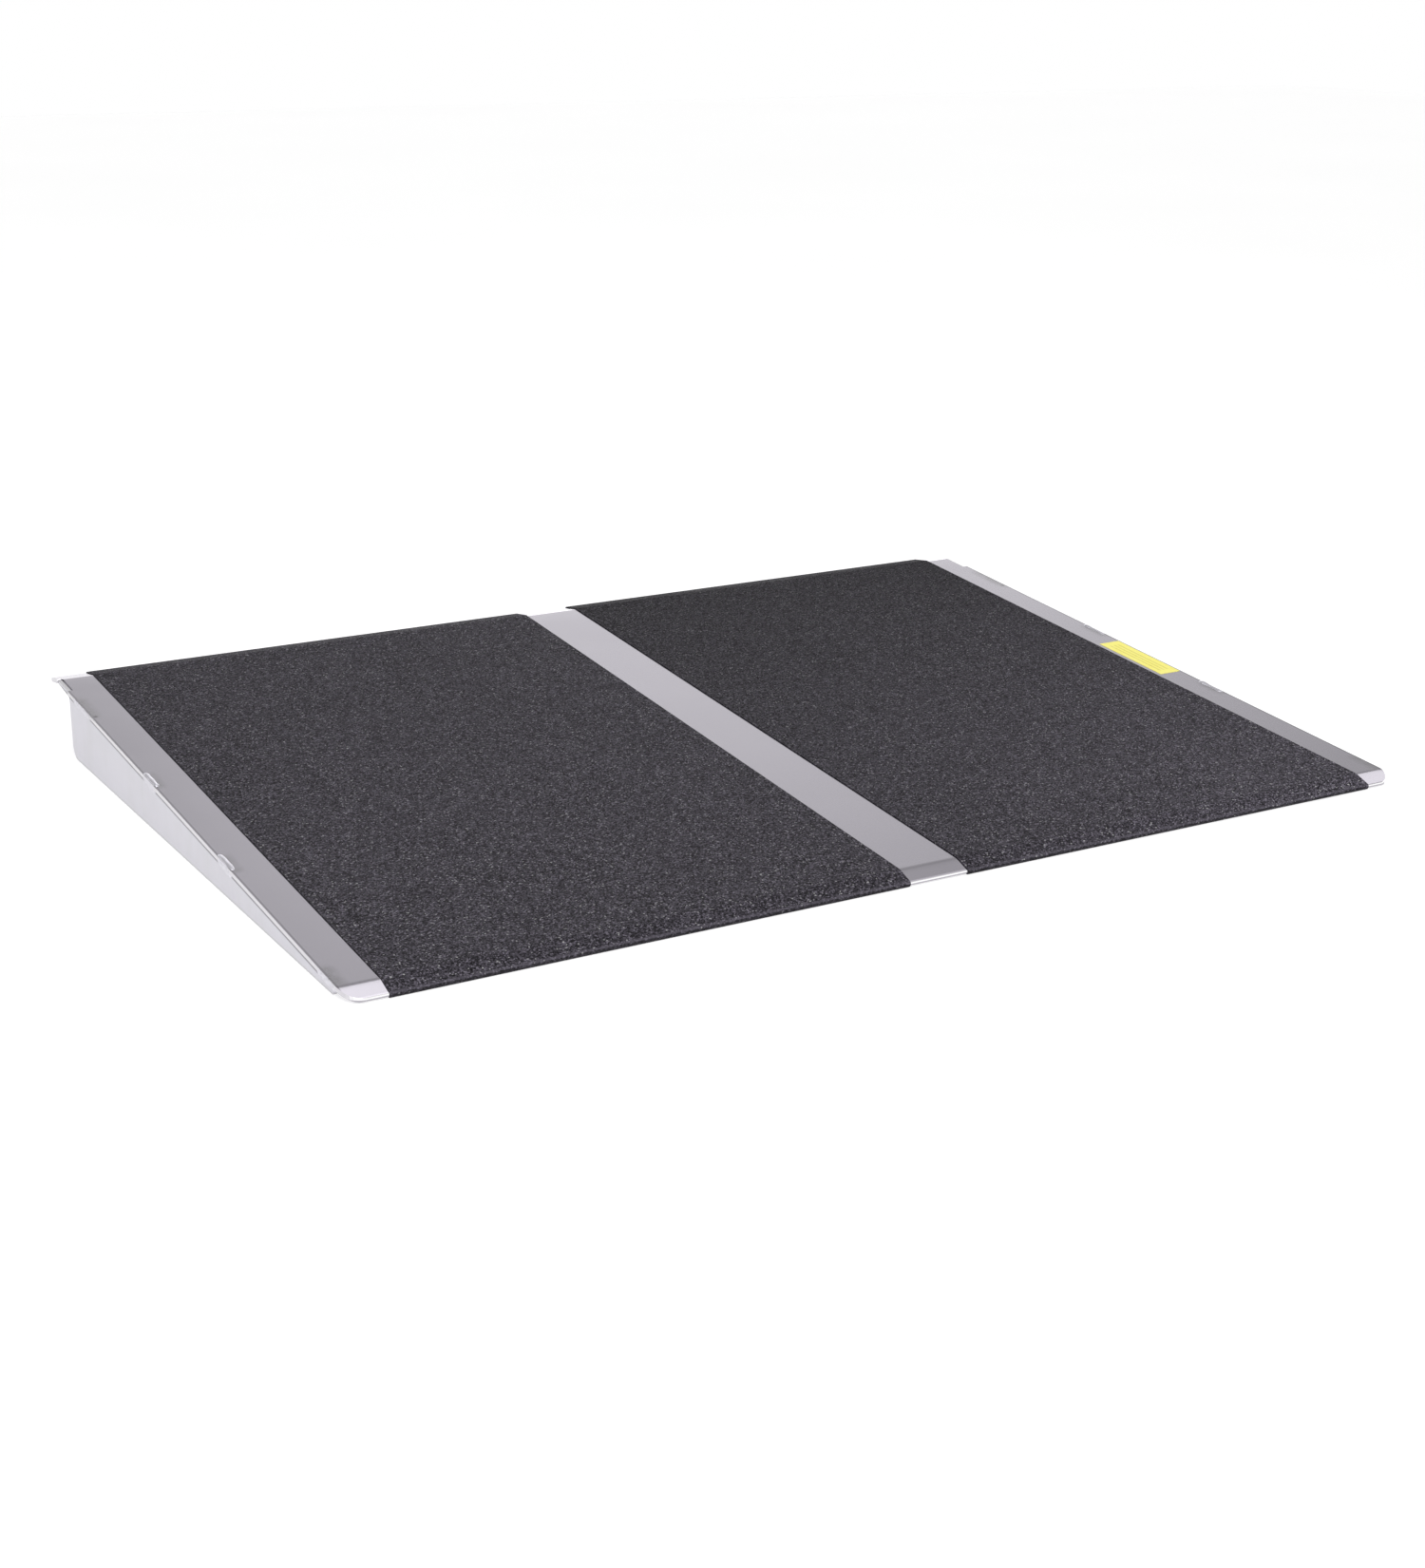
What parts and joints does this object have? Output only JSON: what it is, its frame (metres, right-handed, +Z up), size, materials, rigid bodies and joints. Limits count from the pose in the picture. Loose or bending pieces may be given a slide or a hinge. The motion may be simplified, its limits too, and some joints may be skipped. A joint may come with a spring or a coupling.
{
  "type": "portable wheelchair ramp",
  "caption": "Short wide folded-sheet threshold ramp on edge-on gussets, with a bevelled low edge, a rear lip and panels of anti-slip tape.",
  "frame": {"origin": "middle of the ramp's bounding footprint, on the floor it stands on", "axes": "+X across the width, to the right for someone going up the ramp; +Y along the direction of travel, from the bevelled low edge to the rear lip; +Z up"},
  "size_m": [0.915, 0.6443, 0.0603],
  "materials": {
    "deck_metal": "bare mill-finish sheet, satin, brushed along the edges",
    "gusset_metal": "bare mill-finish plate, satin",
    "weld_metal": "bare rippled weld bead",
    "grip_tape": "coarse mineral grit on a black film, matt",
    "label_film": "printed film, blank"
  },
  "bodies": {
    "root": {"deck_plate": "deck_metal", "left_gusset": "gusset_metal", "right_gusset": "gusset_metal", "centre_gusset": "gusset_metal", "left_inner_gusset": "gusset_metal", "right_inner_gusset": "gusset_metal", "left_gusset_welds": "weld_metal", "right_gusset_welds": "weld_metal", "centre_gusset_welds": "weld_metal", "left_inner_gusset_welds": "weld_metal", "right_inner_gusset_welds": "weld_metal", "left_grip_tape": "grip_tape", "right_grip_tape": "grip_tape", "side_label": "label_film"}
  },
  "joints": []
}
